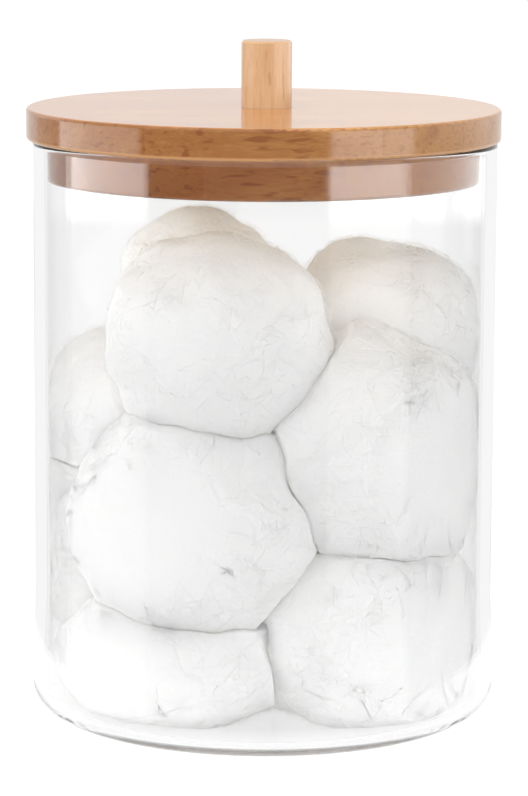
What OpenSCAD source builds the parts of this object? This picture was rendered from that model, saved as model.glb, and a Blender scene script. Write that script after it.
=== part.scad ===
// Clear cylindrical bathroom jar with a turned bamboo lid, filled with cotton balls.
// Millimetres, +Z up. The origin is the centre of the jar's underside, where it stands.

/* [Jar] */
// Outer radius of the jar's straight wall
jar_r = 36.7; // [36:0.1:37.2]
// Height of the jar from its underside to the top of its lip
jar_h = 91.7; // [86:0.1:110]
// Thickness of the jar's wall
wall_t = 2.0; // [1.6:0.1:2.1]
// Thickness of the jar's base
base_t = 2.0; // [1.8:0.1:2.8]
// Radius of the rounded heel between wall and underside
heel_r = 4.9; // [3:0.1:6]
// How far the heel swells out past the straight wall
heel_swell = 0.5; // [0:0.1:0.8]
// Height over which that swell fades into the straight wall
swell_h = 16.0; // [4:0.5:20]
// Radius of the inside corner between wall and base
inner_heel_r = 2.9; // [2:0.1:5]
// Radius on both edges of the fire-polished lip
lip_r = 0.8; // [0.4:0.1:0.8]

/* [Lid] */
// Radius of the lid's disc
lid_r = 37.5; // [37:0.1:39]
// Thickness of the lid's disc
lid_t = 5.0; // [4:0.1:7]
// Radius of the plug that drops into the mouth
plug_r = 34.15; // [33.5:0.05:34.2]
// Depth of the plug below the disc
plug_h = 6.2; // [4:0.1:6.4]
// Radius on the sanded edges of the disc and the plug
edge_r = 0.5; // [0.2:0.1:1]
// How far the lid sits to one side in its play in the mouth
lid_shift = -0.25; // [-0.3:0.05:0.3]

/* [Knob] */
// Diameter of the dowel that is the knob
knob_d = 8.0; // [6:0.5:14]
// Height of the knob above the lid
knob_h = 10.5; // [8:0.5:25]
// Depth that the dowel is set into the lid
knob_set = 5.0; // [3:0.5:8]
// Glue gap round the dowel in its hole, on the radius
glue_gap = 0.05; // [0:0.01:0.1]
// How far the dowel's hole is drilled off the lid's centre
knob_off = 0.4; // [-0.5:0.1:0.5]
// Bevel on the dowel's two ends
knob_bevel = 0.3; // [0.1:0.1:1]

/* [Cotton] */
// Scale of each cotton ball about its own centre
cotton_fill = 1.0; // [0.8:0.02:1]

/* [Hidden] */
$fn = 96;

bore_r = jar_r - wall_t;
lid_z = jar_h;             // the disc's underside lies on the lip
lid_top = jar_h + lid_t;
swell_steps = 10;

// Where each cotton ball lies: x, y, z of its centre, width, height.
// Four lie on the base, six stand against the wall above them, two small ones
// fill the core, and three make the top of the heap.
COTTON = [
    [ -7.2, -16.5, 64.2, 31.0, 27.0],   // 01 top, front left
    [ 20.0,   5.5, 63.0, 24.5, 23.0],   // 02 top, right
    [-10.2,  13.5, 67.0, 24.0, 23.5],   // 03 top, back left
    [-20.2,   4.0, 46.3, 24.0, 23.5],   // 04 middle, left
    [ 16.2, -12.2, 44.8, 27.5, 26.0],   // 05 middle, front right
    [-10.2, -17.0, 34.2, 28.0, 27.5],   // 06 middle, front left
    [  0.4,  18.6, 38.5, 28.0, 27.0],   // 07 middle, back
    [ 15.2, -13.2, 14.7, 27.5, 25.0],   // 08 base, front right
    [ 10.0,  17.0, 13.2, 27.0, 22.0],   // 09 base, back right
    [-17.0,  12.0, 14.7, 25.5, 25.0],   // 10 base, back left
    [-13.5, -15.3, 10.7, 25.0, 17.0],   // 11 base, front left, pressed low
    [ 22.8,  12.0, 36.0, 17.0, 16.5],   // 12 middle, right, small
    [-26.4,  -1.2, 27.6, 15.6, 15.2],   // 13 middle, left, small
    [  0.0,   1.2, 25.0, 15.5, 15.0],   // 14 core, low, small
    [  0.5,   1.5, 51.8, 14.0, 13.5],   // 15 core, high, small
];

// Section of the jar's outside: heel, swell, wall and outer edge of the lip
module jar_outside() {
    heel_big_r = jar_r + heel_swell;
    square([heel_big_r - heel_r, 2 * heel_r]);
    translate([heel_big_r - heel_r, heel_r]) circle(r = heel_r);
    polygon(concat(
        [[0, heel_r]],
        [for (i = [0 : swell_steps])
            [jar_r + heel_swell * (1 + cos(180 * i / swell_steps)) / 2,
             heel_r + swell_h * i / swell_steps]],
        [[0, heel_r + swell_h]]));
    translate([0, heel_r + swell_h])
        square([jar_r, jar_h - lip_r - heel_r - swell_h]);
    translate([0, jar_h - 2 * lip_r]) square([jar_r - lip_r, 2 * lip_r]);
    translate([jar_r - lip_r, jar_h - lip_r]) circle(r = lip_r);
}

// Section of the jar's hollow: base, inside corner, swell, bore and inner edge of the
// lip. It follows the outside, so that the glass is of one thickness round the heel.
module jar_hollow() {
    corner_r = bore_r + heel_swell;
    corner_z = base_t + inner_heel_r;
    translate([0, base_t]) square([corner_r - inner_heel_r, jar_h / 2]);
    translate([corner_r - inner_heel_r, corner_z]) circle(r = inner_heel_r);
    polygon(concat(
        [[0, corner_z]],
        [for (i = [0 : swell_steps])
            [bore_r + heel_swell * (1 + cos(180 * i / swell_steps)) / 2,
             corner_z + swell_h * i / swell_steps]],
        [[0, corner_z + swell_h]]));
    translate([0, corner_z + swell_h]) square([bore_r, jar_h]);
    difference() {
        translate([0, jar_h - lip_r]) square([bore_r + lip_r, 2 * lip_r]);
        translate([bore_r + lip_r, jar_h - lip_r]) circle(r = lip_r);
    }
}

module jar() {
    color([0.94, 0.95, 0.96, 0.35])
    rotate_extrude()
    intersection() {
        difference() {
            jar_outside();
            jar_hollow();
        }
        square([jar_r + heel_swell + 1, jar_h + 1]);
    }
}

// Half section of a disc of radius r between z0 and z1, its outer edges rounded by e
module disc_section(r, z0, z1, e) {
    translate([0, z0]) square([r - e, z1 - z0]);
    translate([0, z0 + e]) square([r, z1 - z0 - 2 * e]);
    for (z = [z0 + e, z1 - e]) translate([r - e, z]) circle(r = e);
}

module lid() {
    color([0.78, 0.58, 0.38])
    translate([lid_shift, 0, 0])
    difference() {
        rotate_extrude() {
            disc_section(lid_r, lid_z, lid_top, edge_r);
            disc_section(plug_r, lid_z - plug_h, lid_z + edge_r + 1, edge_r);
        }
        translate([knob_off, 0, lid_top - knob_set])
            cylinder(r = knob_d / 2 + glue_gap, h = knob_set + 1);
    }
}

module knob() {
    color([0.89, 0.72, 0.54])
    translate([lid_shift + knob_off, 0, lid_top - knob_set]) {
        cylinder(r1 = knob_d / 2 - knob_bevel, r2 = knob_d / 2, h = knob_bevel);
        translate([0, 0, knob_bevel])
            cylinder(r = knob_d / 2, h = knob_set + knob_h - 2 * knob_bevel);
        translate([0, 0, knob_set + knob_h - knob_bevel])
            cylinder(r1 = knob_d / 2, r2 = knob_d / 2 - knob_bevel, h = knob_bevel);
    }
}

// Half section of a ball w across and h high, flattened a little at its top and bottom
module ball_section(w, h) {
    flat = max(0.25, (w - h) / 2);
    intersection() {
        union() {
            translate([0, -h / 2]) square([flat, h]);
            translate([flat, 0]) circle(d = h);
        }
        translate([0, -h / 2]) square([w, h]);
    }
}

module cotton_ball(i) {
    b = COTTON[i];
    color([0.97, 0.965, 0.955])
    translate([b[0], b[1], b[2]])
    scale(cotton_fill)
    rotate_extrude() ball_section(b[3], b[4]);
}

module cotton_ball_01() { cotton_ball(0); }
module cotton_ball_02() { cotton_ball(1); }
module cotton_ball_03() { cotton_ball(2); }
module cotton_ball_04() { cotton_ball(3); }
module cotton_ball_05() { cotton_ball(4); }
module cotton_ball_06() { cotton_ball(5); }
module cotton_ball_07() { cotton_ball(6); }
module cotton_ball_08() { cotton_ball(7); }
module cotton_ball_09() { cotton_ball(8); }
module cotton_ball_10() { cotton_ball(9); }
module cotton_ball_11() { cotton_ball(10); }
module cotton_ball_12() { cotton_ball(11); }
module cotton_ball_13() { cotton_ball(12); }
module cotton_ball_14() { cotton_ball(13); }
module cotton_ball_15() { cotton_ball(14); }

jar();
lid();
knob();
cotton_ball_01();
cotton_ball_02();
cotton_ball_03();
cotton_ball_04();
cotton_ball_05();
cotton_ball_06();
cotton_ball_07();
cotton_ball_08();
cotton_ball_09();
cotton_ball_10();
cotton_ball_11();
cotton_ball_12();
cotton_ball_13();
cotton_ball_14();
cotton_ball_15();
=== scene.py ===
import math

import bpy
import numpy as np
from mathutils import Matrix, Vector


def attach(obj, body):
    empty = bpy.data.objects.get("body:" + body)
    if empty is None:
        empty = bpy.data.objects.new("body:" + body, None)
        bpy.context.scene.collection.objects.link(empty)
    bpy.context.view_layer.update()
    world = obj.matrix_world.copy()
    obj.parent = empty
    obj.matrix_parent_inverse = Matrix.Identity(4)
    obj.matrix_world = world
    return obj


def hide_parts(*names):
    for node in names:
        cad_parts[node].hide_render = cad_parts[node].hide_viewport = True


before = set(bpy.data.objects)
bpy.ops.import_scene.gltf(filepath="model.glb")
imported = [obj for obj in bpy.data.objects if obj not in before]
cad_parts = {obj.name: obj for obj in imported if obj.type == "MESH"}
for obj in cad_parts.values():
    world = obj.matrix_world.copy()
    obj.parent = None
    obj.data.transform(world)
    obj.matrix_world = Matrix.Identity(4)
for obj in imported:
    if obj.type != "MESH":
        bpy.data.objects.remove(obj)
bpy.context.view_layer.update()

MM = 0.001
scene = bpy.context.scene
scene.view_settings.view_transform = "Standard"
scene.view_settings.look = "None"
# light runs a long way inside thick clear glass
scene.cycles.max_bounces = 48
scene.cycles.glossy_bounces = 40
scene.cycles.transmission_bounces = 48
scene.cycles.diffuse_bounces = 20


# ---------------------------------------------------------------- node helpers
def new_material(name):
    m = bpy.data.materials.new(name)
    m.use_nodes = True
    nt = m.node_tree
    nt.nodes.clear()
    return m, nt


def node(nt, kind, **values):
    n = nt.nodes.new(kind)
    for k, v in values.items():
        if k in n.inputs:
            n.inputs[k].default_value = v
        else:
            setattr(n, k, v)
    return n


def link(nt, a, b):
    nt.links.new(a, b)


def math_node(nt, op, a, b=None, clamp=False):
    n = nt.nodes.new("ShaderNodeMath")
    n.operation = op
    n.use_clamp = clamp
    for i, v in enumerate((a, b)):
        if v is None:
            continue
        if hasattr(v, "is_output"):
            nt.links.new(v, n.inputs[i])
        else:
            n.inputs[i].default_value = v
    return n.outputs[0]


def map_range(nt, value, lo, hi, to_lo=0.0, to_hi=1.0, smooth=False):
    n = nt.nodes.new("ShaderNodeMapRange")
    n.interpolation_type = "SMOOTHSTEP" if smooth else "LINEAR"
    nt.links.new(value, n.inputs["Value"])
    n.inputs["From Min"].default_value = lo
    n.inputs["From Max"].default_value = hi
    n.inputs["To Min"].default_value = to_lo
    n.inputs["To Max"].default_value = to_hi
    return n.outputs["Result"]


def mix_color(nt, fac, a, b, blend="MIX"):
    n = nt.nodes.new("ShaderNodeMix")
    n.data_type = "RGBA"
    n.blend_type = blend
    for sock, v in ((n.inputs["Factor"], fac), (n.inputs[6], a), (n.inputs[7], b)):
        if hasattr(v, "is_output"):
            nt.links.new(v, sock)
        elif isinstance(v, (int, float)):
            sock.default_value = v
        else:
            sock.default_value = tuple(v) + (1.0,) * (4 - len(v))
    return n.outputs[2]


def mix_float(nt, fac, a, b):
    n = nt.nodes.new("ShaderNodeMix")
    n.data_type = "FLOAT"
    for sock, v in ((n.inputs["Factor"], fac), (n.inputs[2], a), (n.inputs[3], b)):
        if hasattr(v, "is_output"):
            nt.links.new(v, sock)
        else:
            sock.default_value = v
    return n.outputs[0]


def coords(nt, scale=(1, 1, 1), offset=(0, 0, 0), source=None):
    """Object coordinates in millimetres times scale, plus offset."""
    if source is None:
        source = nt.nodes.new("ShaderNodeTexCoord").outputs["Object"]
    n = nt.nodes.new("ShaderNodeMapping")
    n.inputs["Scale"].default_value = tuple(s * 1000.0 for s in scale)
    n.inputs["Location"].default_value = offset
    nt.links.new(source, n.inputs["Vector"])
    return n.outputs["Vector"]


def noise_tex(nt, vec, scale=1.0, detail=2.0, rough=0.5, distortion=0.0):
    n = nt.nodes.new("ShaderNodeTexNoise")
    n.inputs["Scale"].default_value = scale
    n.inputs["Detail"].default_value = detail
    n.inputs["Roughness"].default_value = rough
    n.inputs["Distortion"].default_value = distortion
    nt.links.new(vec, n.inputs["Vector"])
    return n.outputs["Fac"]


def bump(nt, height, distance, strength=1.0, normal=None):
    n = nt.nodes.new("ShaderNodeBump")
    n.inputs["Distance"].default_value = distance
    n.inputs["Strength"].default_value = strength
    nt.links.new(height, n.inputs["Height"])
    if normal is not None:
        nt.links.new(normal, n.inputs["Normal"])
    return n.outputs["Normal"]


def output(nt, shader):
    o = nt.nodes.new("ShaderNodeOutputMaterial")
    nt.links.new(shader, o.inputs["Surface"])
    return o


# ---------------------------------------------------------------- materials
def make_glass():
    m, nt = new_material("jar_clear_glass")
    p = nt.nodes.new("ShaderNodeBsdfPrincipled")
    p.inputs["Base Color"].default_value = (1.0, 1.0, 1.0, 1.0)
    p.inputs["IOR"].default_value = 1.47
    p.inputs["Transmission Weight"].default_value = 1.0
    p.inputs["Roughness"].default_value = 0.0
    # the faint long ripple of drawn glass
    v = coords(nt, (0.05, 0.05, 0.012))
    n1 = noise_tex(nt, v, 1.0, 1.0, 0.4)
    link(nt, bump(nt, n1, 0.0004, 0.10), p.inputs["Normal"])
    output(nt, p.outputs[0])
    return m


def make_bamboo(name, along, colors, strips, coat_rough, relief, top):
    """Solid bamboo texture. along is the axis that the fibres run along.
    colors are: plain, dark bundle, pale, gap between fibres."""
    plain, dark, pale_c, gap = colors
    m, nt = new_material(name)
    p = nt.nodes.new("ShaderNodeBsdfPrincipled")
    tc = nt.nodes.new("ShaderNodeTexCoord").outputs["Object"]
    ax = "xyz".index(along)

    def stretched(across, lengthwise, offset=(0, 0, 0)):
        s = [across] * 3
        s[ax] = lengthwise
        return coords(nt, s, offset, source=tc)

    # a wide, slow noise along the fibres; on the board each strip gets its own tone further down, where value and
    # saturation change strip by strip
    wide = noise_tex(nt, stretched(0.16, 0.035, (3.1, 7.7, 1.3)), 1.0, 2.0, 0.5)
    if strips:
        # the board gets a little paler towards one end
        sx = nt.nodes.new("ShaderNodeSeparateXYZ")
        link(nt, tc, sx.inputs[0])
        wide = math_node(nt, "ADD", wide, map_range(nt, sx.outputs["X"], -0.012, 0.022, -0.10, 0.20, True))
    streak = noise_tex(nt, stretched(1.5, 0.13), 1.0, 3.0, 0.55, 0.25)
    bundle = noise_tex(nt, stretched(1.15, 0.22, (9.2, 4.4, 6.1)), 1.0, 1.0, 0.4, 0.1)
    fibres = noise_tex(nt, stretched(4.6, 0.30), 1.0, 2.0, 0.6)
    col = mix_color(nt, map_range(nt, wide, 0.38, 0.62, 0.0, 1.0, True), plain, pale_c)
    col = mix_color(nt, map_range(nt, streak, 0.50, 0.70, 0.0, 0.55, True), col, dark)
    col = mix_color(nt, map_range(nt, streak, 0.44, 0.28, 0.0, 0.5, True), col, pale_c)
    dots = map_range(nt, bundle, 0.60, 0.70, 0.0, 0.7, True)
    if strips:
        dots = math_node(nt, "MULTIPLY", dots, map_range(nt, sx.outputs["X"], 0.004, 0.022, 1.0, 0.25, True))
    col = mix_color(nt, dots, col, gap)
    col = mix_color(nt, map_range(nt, fibres, 0.40, 0.72, 0.0, 0.30), col, gap)
    if strips:
        sep = nt.nodes.new("ShaderNodeSeparateXYZ")
        link(nt, tc, sep.inputs[0])
        y = math_node(nt, "MULTIPLY", sep.outputs["Y"], 1000.0 / strips)
        idx = math_node(nt, "FLOOR", y)
        wn = nt.nodes.new("ShaderNodeTexWhiteNoise")
        wn.noise_dimensions = "1D"
        link(nt, math_node(nt, "ADD", idx, 11.3), wn.inputs["W"])
        hsv = nt.nodes.new("ShaderNodeHueSaturation")
        link(nt, col, hsv.inputs["Color"])
        link(nt, map_range(nt, wn.outputs["Value"], 0.0, 1.0, 0.93, 1.06), hsv.inputs["Value"])
        link(nt, map_range(nt, wn.outputs["Value"], 0.0, 1.0, 1.05, 0.97), hsv.inputs["Saturation"])
        frac = math_node(nt, "FRACT", y)
        d = math_node(nt, "MINIMUM", frac, math_node(nt, "SUBTRACT", 1.0, frac))
        col = mix_color(nt, map_range(nt, d, 0.0, 0.014, 0.30, 0.0), hsv.outputs["Color"], gap)
        # the plug gets painted shade: darker and redder, for the shadow under the disc's overhang
        z = sx.outputs["Z"]
        plug_shade = map_range(nt, z, 0.0919, 0.0915)
        # painted highlight: a pale line along the disc's lower edge, where it catches light from the table
        low_edge_highlight = map_range(nt, z, 0.09240, 0.09215, 0.0, 0.85)
        col = mix_color(nt, low_edge_highlight, col, (0.60, 0.30, 0.115))
        # painted shade on the plug below the disc
        col = mix_color(nt, plug_shade, col, mix_color(nt, 1.0, hsv.outputs["Color"], (0.93, 0.79, 0.69), "MULTIPLY"))
    # faces turned up take the top tint: on the lid it is painted light, a paler top as if lit more strongly from
    # above than the turned edge; on the knob it makes the top darker
    geo = nt.nodes.new("ShaderNodeNewGeometry")
    nz = nt.nodes.new("ShaderNodeSeparateXYZ")
    link(nt, geo.outputs["Normal"], nz.inputs[0])
    facing = map_range(nt, nz.outputs["Z"], 0.55, 0.95, 0.0, 1.0, True)
    col = mix_color(nt, facing, col, mix_color(nt, 1.0, col, top, "MULTIPLY"))
    # the underside is left raw, so it stays pale
    under = map_range(nt, nz.outputs["Z"], -0.985, -0.998, 0.0, 0.90, True)
    col = mix_color(nt, under, col, (0.84, 0.72, 0.56))
    link(nt, col, p.inputs["Base Color"])
    link(nt, map_range(nt, streak, 0.3, 0.7, 0.42, 0.6), p.inputs["Roughness"])
    p.inputs["Coat Weight"].default_value = 1.0
    p.inputs["Coat Roughness"].default_value = coat_rough
    p.inputs["Coat IOR"].default_value = 1.5
    p.inputs["Specular IOR Level"].default_value = 0.15
    h = math_node(nt, "ADD", math_node(nt, "MULTIPLY", streak, 0.6), math_node(nt, "MULTIPLY", fibres, 0.4))
    link(nt, bump(nt, h, relief, 0.5), p.inputs["Normal"])
    output(nt, p.outputs[0])
    return m


def make_cotton(name, deep):
    """deep is how far light runs inside, in metres: 0 for a single loose fibre."""
    m, nt = new_material(name)
    p = nt.nodes.new("ShaderNodeBsdfPrincipled")
    tc = nt.nodes.new("ShaderNodeTexCoord").outputs["Object"]
    wisps = noise_tex(nt, coords(nt, (0.8, 0.8, 0.8), source=tc), 1.0, 4.0, 0.62, 2.2)
    cloud = noise_tex(nt, coords(nt, (0.10, 0.10, 0.10), (5.2, 1.1, 8.4), source=tc), 1.0, 2.0, 0.5)
    col = mix_color(nt, map_range(nt, cloud, 0.40, 0.62), (0.985, 0.985, 0.98), (0.975, 0.972, 0.955))
    col = mix_color(nt, map_range(nt, wisps, 0.35, 0.8, 0.0, 0.3), col, (0.99, 0.99, 0.985))
    link(nt, col, p.inputs["Base Color"])
    p.inputs["Roughness"].default_value = 1.0
    p.inputs["Specular IOR Level"].default_value = 0.05
    if deep:
        p.inputs["Subsurface Weight"].default_value = 1.0
        p.inputs["Subsurface Radius"].default_value = (1.0, 1.0, 0.95)
        p.inputs["Subsurface Scale"].default_value = deep
    fine = noise_tex(nt, coords(nt, (2.6, 2.6, 2.6), source=tc), 1.0, 4.0, 0.7, 2.5)
    h = math_node(nt, "ADD", wisps, math_node(nt, "MULTIPLY", fine, 0.45))
    link(nt, bump(nt, h, 0.0005, 0.22), p.inputs["Normal"])
    output(nt, p.outputs[0])
    return m


# ---------------------------------------------------------------- mesh helpers
def mesh_object(name, verts, faces, material, smooth=True):
    me = bpy.data.meshes.new(name)
    me.from_pydata([tuple(v) for v in verts], [], [tuple(f) for f in faces])
    me.update()
    if smooth:
        me.shade_smooth()
    ob = bpy.data.objects.new(name, me)
    scene.collection.objects.link(ob)
    me.materials.append(material)
    return ob


def arc(cx, cz, r, a0, a1, n):
    """Points of an arc in the section plane, angles in degrees from +r towards +z."""
    return [(cx + r * math.cos(math.radians(a0 + (a1 - a0) * i / n)),
             cz + r * math.sin(math.radians(a0 + (a1 - a0) * i / n))) for i in range(n + 1)]


def lathe(name, profile, segments, material):
    """A closed solid of revolution. profile runs in mm from the axis back to the axis."""
    ring = [p for p in profile if p[0] > 1e-6]
    verts = []
    for k in range(segments):
        a = 2 * math.pi * k / segments
        ca, sa = math.cos(a), math.sin(a)
        verts += [(r * ca * MM, r * sa * MM, z * MM) for r, z in ring]
    n = len(ring)
    faces = []
    for k in range(segments):
        k2 = (k + 1) % segments
        for i in range(n - 1):
            faces.append((k * n + i, k2 * n + i, k2 * n + i + 1, k * n + i + 1))
    verts.append((0, 0, profile[0][1] * MM))
    verts.append((0, 0, profile[-1][1] * MM))
    low, high = len(verts) - 2, len(verts) - 1
    for k in range(segments):
        k2 = (k + 1) % segments
        faces.append((low, k2 * n, k * n))
        faces.append((high, k * n + n - 1, k2 * n + n - 1))
    return mesh_object(name, verts, faces, material)


# ---------------------------------------------------------------- jar
JAR_R, JAR_H, WALL, BASE = 36.7, 91.7, 2.0, 2.0
HEEL_R, SWELL, SWELL_H, IN_HEEL, LIP = 4.9, 0.5, 16.0, 2.9, 0.8
BORE = JAR_R - WALL


def jar_profile():
    big = JAR_R + SWELL
    pts = [(0.0, 0.0)]
    pts += [(r, 0.0) for r in (8.0, 16.0, 24.0, 30.0, big - HEEL_R - 0.15)]
    pts += arc(big - HEEL_R, HEEL_R, HEEL_R, -90, 0, 18)
    for i in range(1, 15):
        t = i / 14
        pts.append((JAR_R + SWELL * (1 + math.cos(math.pi * t)) / 2, HEEL_R + SWELL_H * t))
    # the last ring lies just below the lip, so that the wall's smooth shading stays upright up to it
    pts += [(JAR_R, HEEL_R + SWELL_H + (JAR_H - LIP - HEEL_R - SWELL_H) * t) for t in (0.05, 0.25, 0.5, 0.75, 0.95)]
    pts.append((JAR_R, JAR_H - LIP - 0.1))
    pts += arc(JAR_R - LIP, JAR_H - LIP, LIP, 0, 90, 8)
    pts += arc(BORE + LIP, JAR_H - LIP, LIP, 90, 180, 8)
    low = BASE + IN_HEEL
    pts += [(BORE, z) for z in (JAR_H - LIP - 0.1, 86.0, 66.0, 46.0, 26.0)]
    for i in range(14, 0, -1):
        t = i / 14
        pts.append((BORE + SWELL * (1 + math.cos(math.pi * t)) / 2, low + SWELL_H * t))
    pts += arc(BORE + SWELL - IN_HEEL, low, IN_HEEL, 0, -90, 16)
    pts += [(r, BASE) for r in (BORE + SWELL - IN_HEEL - 0.15, 27.0, 20.0, 12.0, 6.0)]
    pts.append((0.0, BASE))
    return pts


glass = make_glass()
jar = lathe("jar_glass", jar_profile(), 192, glass)
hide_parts("jar")
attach(jar, "jar")

# ---------------------------------------------------------------- cotton
# Where each ball lies, as in part.scad: x, y, z, width, height, in mm,
# then how far its sides, top and underside puff past that plain solid
COTTON = [
    (-7.2, -16.5, 64.2, 31.0, 27.0, 1.9, 0.6, 6.5),
    (20.0, 5.5, 63.0, 24.5, 23.0, 5.0, 0.4, 8.0),
    (-10.2, 13.5, 67.0, 24.0, 23.5, 1.0, 0.4, 6.0),
    (-20.2, 4.0, 46.3, 24.0, 23.5, 6.5, 3.6, 7.0),
    (16.2, -12.2, 44.8, 27.5, 26.0, 5.5, 6.0, 8.0),
    (-10.2, -17.0, 34.2, 28.0, 27.5, 5.0, 6.5, 6.5),
    (0.4, 18.6, 38.5, 28.0, 27.0, 7.0, 7.0, 7.0),
    (15.2, -13.2, 14.7, 27.5, 25.0, 6.0, 7.0, 2.0),
    (10.0, 17.0, 13.2, 27.0, 22.0, 7.0, 7.0, 2.0),
    (-17.0, 12.0, 14.7, 25.5, 25.0, 7.0, 7.0, 2.0),
    (-13.5, -15.3, 10.7, 25.0, 17.0, 6.0, 6.0, 2.0),
    (22.8, 12.0, 36.0, 17.0, 16.5, 6.5, 7.0, 7.0),
    (-26.4, -1.2, 27.6, 15.6, 15.2, 7.0, 7.0, 7.0),
    (0.0, 1.2, 25.0, 15.5, 15.0, 7.0, 7.0, 7.0),
    (0.5, 1.5, 51.8, 14.0, 13.5, 7.0, 7.0, 7.0),
]
WALL_IN = BORE - 0.25
FLOOR_IN = BASE + 0.15
FILLET = 5.0


def lattice_hash(ix, iy, iz, seed):
    """A repeatable number from 0 to 1 for each lattice point."""
    h = (ix * 374761393 + iy * 668265263 + iz * 2147483647 + seed * 1274126177) & 0xFFFFFFFF
    h = ((h ^ (h >> 13)) * 1103515245 + 12345) & 0xFFFFFFFF
    h = ((h ^ (h >> 16)) * 2246822519) & 0xFFFFFFFF
    return ((h ^ (h >> 15)) & 0xFFFFFF) / float(0xFFFFFF)


def vnoise(points, cell, seed):
    """Smooth value noise from -1 to 1, cell is the size of its lumps in mm."""
    q = np.asarray(points) / cell + seed * 3.7
    f = np.floor(q)
    i = f.astype(np.int64)
    t = q - f
    t = t * t * t * (t * (t * 6 - 15) + 10)
    total = 0.0
    for dx in (0, 1):
        for dy in (0, 1):
            for dz in (0, 1):
                w = (t[:, 0] if dx else 1 - t[:, 0]) * (t[:, 1] if dy else 1 - t[:, 1]) * (t[:, 2] if dz else 1 - t[:, 2])
                total = total + w * lattice_hash(i[:, 0] + dx, i[:, 1] + dy, i[:, 2] + dz, seed)
    return total * 2 - 1


def cube_sphere(n):
    """Unit directions and quads of a cube sphere with n quads along an edge."""
    index, verts, faces = {}, [], []
    t = [math.tan((i / n * 2 - 1) * math.pi / 4) for i in range(n + 1)]
    axes = [((1, 0, 0), (0, 1, 0), (0, 0, 1)), ((-1, 0, 0), (0, 0, 1), (0, 1, 0)),
            ((0, 1, 0), (0, 0, 1), (1, 0, 0)), ((0, -1, 0), (1, 0, 0), (0, 0, 1)),
            ((0, 0, 1), (1, 0, 0), (0, 1, 0)), ((0, 0, -1), (0, 1, 0), (1, 0, 0))]
    for a, u, v in axes:
        a, u, v = map(np.array, (a, u, v))
        grid = {}
        for i in range(n + 1):
            for j in range(n + 1):
                q = a + u * t[i] + v * t[j]
                key = tuple(np.round(q, 7) + 0.0)
                if key not in index:
                    index[key] = len(verts)
                    verts.append(q / np.linalg.norm(q))
                grid[i, j] = index[key]
        for i in range(n):
            for j in range(n):
                faces.append((grid[i, j], grid[i + 1, j], grid[i + 1, j + 1], grid[i, j + 1]))
    return np.array(verts), faces


def smooth_min(values, k):
    """Soft minimum of the rows of values, k is the softness in mm."""
    v = np.array(values)
    m = v.min(0)
    return m - k * np.log(np.exp(-(v - m) / k).sum(0))


def half(i, d):
    """Free radius of ball i in the directions d."""
    x, y, z, w, h, side, top, low = COTTON[i]
    a = w / 2 + side
    b = np.where(d[..., 2] > 0, h / 2 + top, h / 2 + low)
    return 1.0 / np.sqrt((d[..., 0] ** 2 + d[..., 1] ** 2) / a ** 2 + d[..., 2] ** 2 / b ** 2)


def ball_surface(i, d):
    """Radius of ball i in the directions d, pressed by its neighbours and the glass,
    and how much of it is pressed there, from 0 for a free side to 1."""
    x, y, z, w = COTTON[i][:4]
    c = np.array([x, y, z])
    own = half(i, d)
    own = own + vnoise(c + d * (w / 2), 9.0, i + 1) * 1.3 + vnoise(c + d * (w / 2), 4.5, i + 31) * 0.45
    # loose fibre fills the valley between two balls: a soft fillet along every seam
    tip = c + d * own[:, None]
    fill = np.zeros(len(d))
    for j in range(len(COTTON)):
        if j == i:
            continue
        q = tip - np.array(COTTON[j][:3])
        far = np.linalg.norm(q, axis=1)
        beside = np.clip(1 - (far - half(j, q / far[:, None])) / FILLET, 0, 1)
        fill = np.maximum(fill, beside ** 2 * FILLET / 4)
    own = own + fill
    rad = [own]
    for j in range(len(COTTON)):
        if j == i:
            continue
        n = np.array(COTTON[j][:3]) - c
        dist = np.linalg.norm(n)
        n = n / dist
        hi, hj = float(half(i, n)), float(half(j, -n))
        if dist > hi + hj + 3:
            continue
        t = dist * hi / (hi + hj)
        dn = d @ n
        r = np.full(len(d), 1e3)
        ok = dn > 0.05
        # the face that the two share is a little wavy, the same wave on both balls
        face = c + d[ok] * (t / dn[ok])[:, None]
        wave = vnoise(face, 5.0, 211) * 0.9 * (1 if i < j else -1)
        r[ok] = (t - 0.02 + wave) / dn[ok]
        rad.append(r)
    dxy2 = d[:, 0] ** 2 + d[:, 1] ** 2 + 1e-9
    bq = x * d[:, 0] + y * d[:, 1]
    cq = x * x + y * y - WALL_IN ** 2
    rad.append((-bq + np.sqrt(bq * bq - dxy2 * cq)) / dxy2)
    r = np.full(len(d), 1e3)
    ok = d[:, 2] < -0.05
    r[ok] = (FLOOR_IN - z) / d[ok, 2]
    rad.append(r)
    rr = smooth_min(rad, 0.16)
    return rr, np.clip((own - rr) / 2.0, 0, 1)


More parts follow.
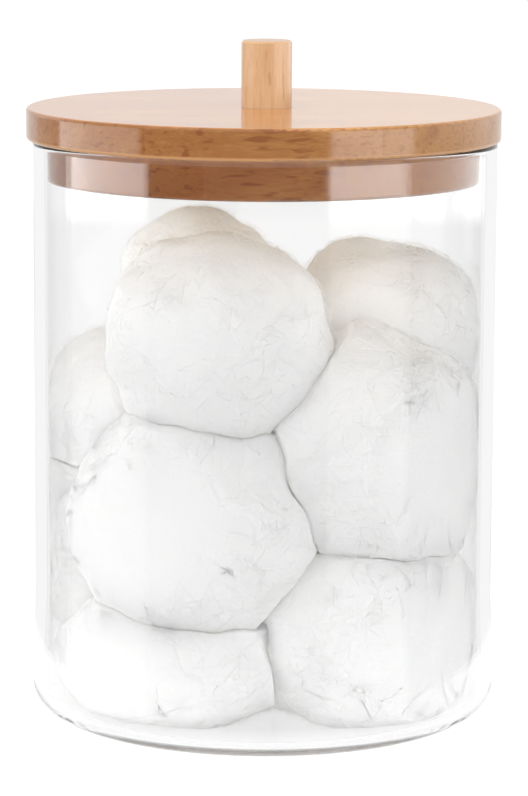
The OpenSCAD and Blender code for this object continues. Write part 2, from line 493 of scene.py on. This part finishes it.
def fibre_mesh(i, count, rng, fuzz=False):
    """Loose fibres on the free side of ball i: thin closed tubes. They curl over it, most
    of them with both roots in the ball, or as fuzz they are short and stand off it."""
    c = np.array(COTTON[i][:3])
    steps = 5 if fuzz else 7
    d0 = rng.normal(size=(count * 3, 3))
    d0 /= np.linalg.norm(d0, axis=1)[:, None]
    rr, pressed = ball_surface(i, d0)
    d0 = d0[pressed < 0.45][:count]
    m = len(d0)
    if m == 0:
        return np.zeros((0, 3)), []
    tang = np.cross(d0, rng.normal(size=(m, 3)))
    tang /= np.linalg.norm(tang, axis=1)[:, None]
    bend = rng.normal(size=m) * 1.1
    if fuzz:
        length = rng.uniform(0.02, 0.11, m)
        lift = rng.uniform(0.25, 0.95, m)
        free = np.ones(m, dtype=bool)
    else:
        length = rng.uniform(0.10, 0.34, m)      # radians across the ball
        lift = rng.uniform(0.10, 0.75, m) ** 1.5 * 1.3
        free = rng.random(m) < 0.35              # these end in the air
    side = np.cross(d0, tang)
    path = np.zeros((m, steps, 3))
    for s in range(steps):
        u = s / (steps - 1)
        a = length * u
        q = d0 + tang * a[:, None] + side * (bend * a * a)[:, None]
        q /= np.linalg.norm(q, axis=1)[:, None]
        r, _ = ball_surface(i, q)
        up = np.where(free, lift * u ** 1.3, lift * math.sin(math.pi * u)) - 0.12 * (1 - u) - np.where(free, 0, 0.12 * u)
        pos = c + q * (r + up)[:, None]
        rho = np.hypot(pos[:, 0], pos[:, 1])
        k = np.minimum(1, (WALL_IN - 0.05) / rho)
        pos[:, 0] *= k
        pos[:, 1] *= k
        path[:, s] = pos
    t = np.gradient(path, axis=1)
    t /= np.linalg.norm(t, axis=2)[:, :, None] + 1e-9
    up = path - c
    e1 = np.cross(t, up)
    e1 /= np.linalg.norm(e1, axis=2)[:, :, None] + 1e-9
    e2 = np.cross(t, e1)
    rad = rng.uniform(0.018, 0.030, m) if fuzz else rng.uniform(0.022, 0.036, m)
    verts, faces = [], []
    ring = []
    for k in range(3):
        ang = 2 * math.pi * k / 3
        ring.append(path + (e1 * math.cos(ang) + e2 * math.sin(ang)) * rad[:, None, None])
    v = np.stack(ring, axis=2).reshape(-1, 3)    # fibre, step, corner
    for f in range(m):
        base = f * steps * 3
        for s in range(steps - 1):
            for k in range(3):
                k2 = (k + 1) % 3
                faces.append((base + s * 3 + k, base + s * 3 + k2, base + s * 3 + 3 + k2, base + s * 3 + 3 + k))
        faces.append((base, base + 2, base + 1))
        e = base + (steps - 1) * 3
        faces.append((e, e + 1, e + 2))
    return v, faces


cotton_mat = make_cotton("cotton_wool", 0.0075)
lint_mat = make_cotton("cotton_lint", 0)
grids = {n: cube_sphere(n) for n in (((50, 28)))}
grid_full, grid_core = sorted(grids, reverse=True)

for i, (x, y, z, w, h, *_) in enumerate(COTTON):
    c = np.array([x, y, z])
    dirs, quads = grids[grid_core if i >= 13 else grid_full]
    rr, pressed = ball_surface(i, dirs)
    pts = c + dirs * rr[:, None]
    # soft folds of the wound fibre, shallower where the ball is pressed
    warp = np.stack([vnoise(pts, 5.0, 301 + i), vnoise(pts, 5.0, 331 + i), vnoise(pts, 5.0, 361 + i)], axis=1) * 1.3
    folds = 1 - np.sqrt(vnoise(pts + warp, 4.2, 401 + i) ** 2 + 0.03) * 2
    fine = vnoise(pts + warp, 1.8, 71 + i) * 0.075 + vnoise(pts, 0.9, 91 + i) * 0.03
    relief = (folds - 0.4) * 0.13 + fine
    free = 1 - 0.9 * pressed
    pts = c + dirs * (rr - 0.04 + np.minimum(relief * free, 0.2))[:, None]
    verts, faces = pts, list(quads)
    if i < 13:
        for count, fuzz in ((400, False), (900, True)):
            fv, ff = fibre_mesh(i, count, np.random.default_rng(4000 + i + 100 * fuzz), fuzz)
            off = len(verts)
            verts = np.vstack([verts, fv])
            faces += [tuple(k + off for k in f) for f in ff]
    ob = mesh_object("cotton_%02d" % (i + 1), verts * MM, faces, cotton_mat)
    if i < 13:
        ob.data.materials.append(lint_mat)
        which = np.zeros(len(faces), dtype=np.int32)
        which[len(quads):] = 1
        ob.data.polygons.foreach_set("material_index", which)
    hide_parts("cotton_ball_%02d" % (i + 1))
    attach(ob, "jar")

# ---------------------------------------------------------------- lid and knob
# the board's top tint (1.38, 1.36, 1.05) paints light on the lid's top face
lid_mat = make_bamboo("bamboo_board", "x",
                      ((0.352, 0.137, 0.032), (0.284, 0.093, 0.018), (0.441, 0.202, 0.056), (0.22, 0.063, 0.011)),
                      11.0, 0.12, 0.00006, (1.38, 1.36, 1.05))
knob_mat = make_bamboo("bamboo_dowel", "z",
                       ((0.72, 0.455, 0.245), (0.65, 0.385, 0.190), (0.78, 0.525, 0.305), (0.58, 0.330, 0.155)),
                       0, 0.22, 0.00004, (0.62, 0.50, 0.36))
for name, mat, slot in (("lid", lid_mat, "bamboo_lid"), ("knob", knob_mat, "bamboo_knob")):
    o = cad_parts[name]
    o.data.materials.clear()
    o.data.materials.append(mat)

# ---------------------------------------------------------------- stage
# the table: a round middle under the jar, which the glass shows, and all the rest
S, TABLE_R, K = 6.0, 0.075, 96
inner = [(TABLE_R * math.cos(2 * math.pi * k / K), TABLE_R * math.sin(2 * math.pi * k / K), 0.0) for k in range(K)]
outer = []
for px, py, _ in inner:
    f = S / max(abs(px), abs(py))
    outer.append((px * f, py * f, 0.0))
stage = []
for name, verts, faces in (
        ("floor_middle", inner, [tuple(range(K))]),
        ("floor", inner + outer, [(k, K + k, K + (k + 1) % K, (k + 1) % K) for k in range(K)])):
    me = bpy.data.meshes.new(name)
    me.from_pydata(verts, [], faces)
    ob = bpy.data.objects.new(name, me)
    scene.collection.objects.link(ob)
    ob.location.z = -0.0002
    stage.append(ob)
floor_middle, floor = stage
for ob, shade, glow, under_glass in ((floor_middle, 0.05, 1.0, 0.95), (floor, 0.22, 0.82, 0.82)):
    fm, nt = new_material("pale_" + ob.name)
    dif = node(nt, "ShaderNodeBsdfDiffuse")
    dif.inputs["Color"].default_value = (shade, shade, shade, 1)
    emi = node(nt, "ShaderNodeEmission")
    emi.inputs["Color"].default_value = (1, 1, 1, 1)
    # it throws less light up on the matt things that stand on it than the eye sees in it
    path = nt.nodes.new("ShaderNodeLightPath")
    through = math_node(nt, "GREATER_THAN", path.outputs["Transmission Depth"], 0.5)
    link(nt, mix_float(nt, path.outputs["Is Diffuse Ray"], mix_float(nt, through, glow, under_glass), 0.50), emi.inputs["Strength"])
    add = nt.nodes.new("ShaderNodeAddShader")
    link(nt, dif.outputs[0], add.inputs[0])
    link(nt, emi.outputs[0], add.inputs[1])
    output(nt, add.outputs[0])
    ob.data.materials.append(fm)
floor.visible_glossy = False
floor.visible_transmission = False

world = bpy.data.worlds.new("studio")
scene.world = world
world.use_nodes = True
nt = world.node_tree
nt.nodes.clear()
out = nt.nodes.new("ShaderNodeOutputWorld")
tc = nt.nodes.new("ShaderNodeTexCoord").outputs["Generated"]
sep = nt.nodes.new("ShaderNodeSeparateXYZ")
link(nt, tc, sep.inputs[0])
# azimuth in degrees, 0 towards the front, positive to the right
az = math_node(nt, "MULTIPLY",
               math_node(nt, "ARCTAN2", sep.outputs["X"], math_node(nt, "MULTIPLY", sep.outputs["Y"], -1.0)),
               180 / math.pi)
zdir = sep.outputs["Z"]


def window(lo, hi, soft=1.2):
    """1 between the azimuths lo and hi, with a soft border."""
    up = map_range(nt, az, lo - soft, lo + soft, 0.0, 1.0, True)
    down = map_range(nt, az, hi - soft, hi + soft, 1.0, 0.0, True)
    return math_node(nt, "MULTIPLY", up, down)


def total(*terms):
    s = terms[0]
    for t in terms[1:]:
        s = math_node(nt, "ADD", s, t)
    return s


# what reflections see: two tall soft boxes beside the camera, pale walls, a dim gap
# in the middle at the front at eye level, and a white table and sky
high = map_range(nt, zdir, -0.121, -0.114, 0.0, 1.0, True)      # level with the top of the jar
above = map_range(nt, zdir, -0.088, -0.080, 0.0, 1.0, True)     # level with the knob
disc = map_range(nt, zdir, -0.1010, -0.0990, 0.0, 1.0, True)    # level with the lid's disc, over the plug
left_l = math_node(nt, "MULTIPLY", window(-115, -61),
                   mix_float(nt, above, mix_float(nt, high, 0.45, mix_float(nt, disc, 2.9, 5.9)), 0.3))
upper = map_range(nt, zdir, -0.030, -0.010, 0.0, 1.0, True)     # over the knob: seen in the lid's top from behind
right_l = math_node(nt, "MULTIPLY", window(32, 76), mix_float(nt, upper, mix_float(nt, high, 0.75, mix_float(nt, disc, 3.3, 5.0)), 0.3))
right_up = math_node(nt, "MULTIPLY", window(76, 140),
                     mix_float(nt, upper, mix_float(nt, above, mix_float(nt, high, 0.04, mix_float(nt, disc, 1.2, 0.45)), 3.5), 0.3))
far_l = math_node(nt, "MULTIPLY", window(-140, -115), map_range(nt, high, 0.0, 1.0, 0.04, 0.45))
gap_l = mix_float(nt, high, 0.50, mix_float(nt, upper, 0.12, 0.80))
front_l = total(left_l, right_l, right_up, far_l, gap_l)
back = total(window(-400, -140, 3), window(140, 400, 3))
ring_l = mix_float(nt, back, front_l, 0.92)
steep = map_range(nt, zdir, -0.34, -0.48, 0.0, 1.0, True)       # the table close by
low_l = mix_float(nt, steep, ring_l, 0.95)
sky = map_range(nt, zdir, 0.35, 0.60, 0.0, 1.0, True)
gloss_l = mix_float(nt, sky, low_l, 1.0)

# what lights the matt surfaces: an even white tent, stronger from the front left
dot = nt.nodes.new("ShaderNodeVectorMath")
dot.operation = "DOT_PRODUCT"
link(nt, tc, dot.inputs[0])
dot.inputs[1].default_value = tuple(Vector((-0.40, -0.86, 0.30)).normalized())
lobe = math_node(nt, "POWER", math_node(nt, "MAXIMUM", dot.outputs["Value"], 0.0), 1.8)
matt_l = total(math_node(nt, "MULTIPLY", lobe, 0.40), 1.0)

belt = math_node(nt, "MULTIPLY", map_range(nt, zdir, -0.05, 0.06, 0.0, 1.0, True),
                 map_range(nt, zdir, 0.26, 0.48, 1.0, 0.0, True))
left_side = window(-145, -40, 20)
tent_l = total(math_node(nt, "MULTIPLY", lobe, 0.10),
               math_node(nt, "MULTIPLY", belt, mix_float(nt, left_side, 4.4, 5.7)), 0.36)

lp = nt.nodes.new("ShaderNodeLightPath")
scattered = math_node(nt, "GREATER_THAN", lp.outputs["Diffuse Depth"], 0.5)
in_glass = math_node(nt, "GREATER_THAN", lp.outputs["Transmission Depth"], 0.5)
mirrored = math_node(nt, "GREATER_THAN", lp.outputs["Glossy Depth"], 0.5)
level = mix_float(nt, lp.outputs["Is Camera Ray"], matt_l, 1.04)   # the white background
level = mix_float(nt, in_glass, level, 0.97)                    # and the same through the glass
level = mix_float(nt, mirrored, level, gloss_l)
level = mix_float(nt, scattered, level, mix_float(nt, in_glass, matt_l, tent_l))
bg = nt.nodes.new("ShaderNodeBackground")
bg.inputs["Color"].default_value = (1, 1, 1, 1)
link(nt, level, bg.inputs["Strength"])
link(nt, bg.outputs[0], out.inputs["Surface"])

# a large soft light over the object
sun = bpy.data.lights.new("soft_top", "AREA")
sun.shape = "RECTANGLE"
sun.size, sun.size_y = 1.2, 1.2
sun.energy = 8.0
so = bpy.data.objects.new("soft_top", sun)
scene.collection.objects.link(so)
so.location = (-0.15, -0.10, 1.5)
so.rotation_euler = (Vector((0, 0, 0.05)) - Vector(so.location)).to_track_quat("-Z", "Y").to_euler()
so.visible_glossy = False
so.visible_transmission = False

# ---------------------------------------------------------------- camera
cam = bpy.data.cameras.new("camera")
co = bpy.data.objects.new("camera", cam)
scene.collection.objects.link(co)
scene.camera = co
cam.sensor_width = 36.0
cam.sensor_fit = "AUTO"
cam.lens = 3420.0 * 36.0 / 796.0
cam.clip_start, cam.clip_end = 0.01, 20.0
co.location = (0.0, -0.540, 0.1433)
pitch, roll = math.radians(9.80), math.radians(0.30)
co.rotation_mode = "XYZ"
rot = Matrix.Rotation(math.pi / 2 - pitch, 4, "X") @ Matrix.Rotation(roll, 4, "Z")
co.rotation_euler = rot.to_euler("XYZ")
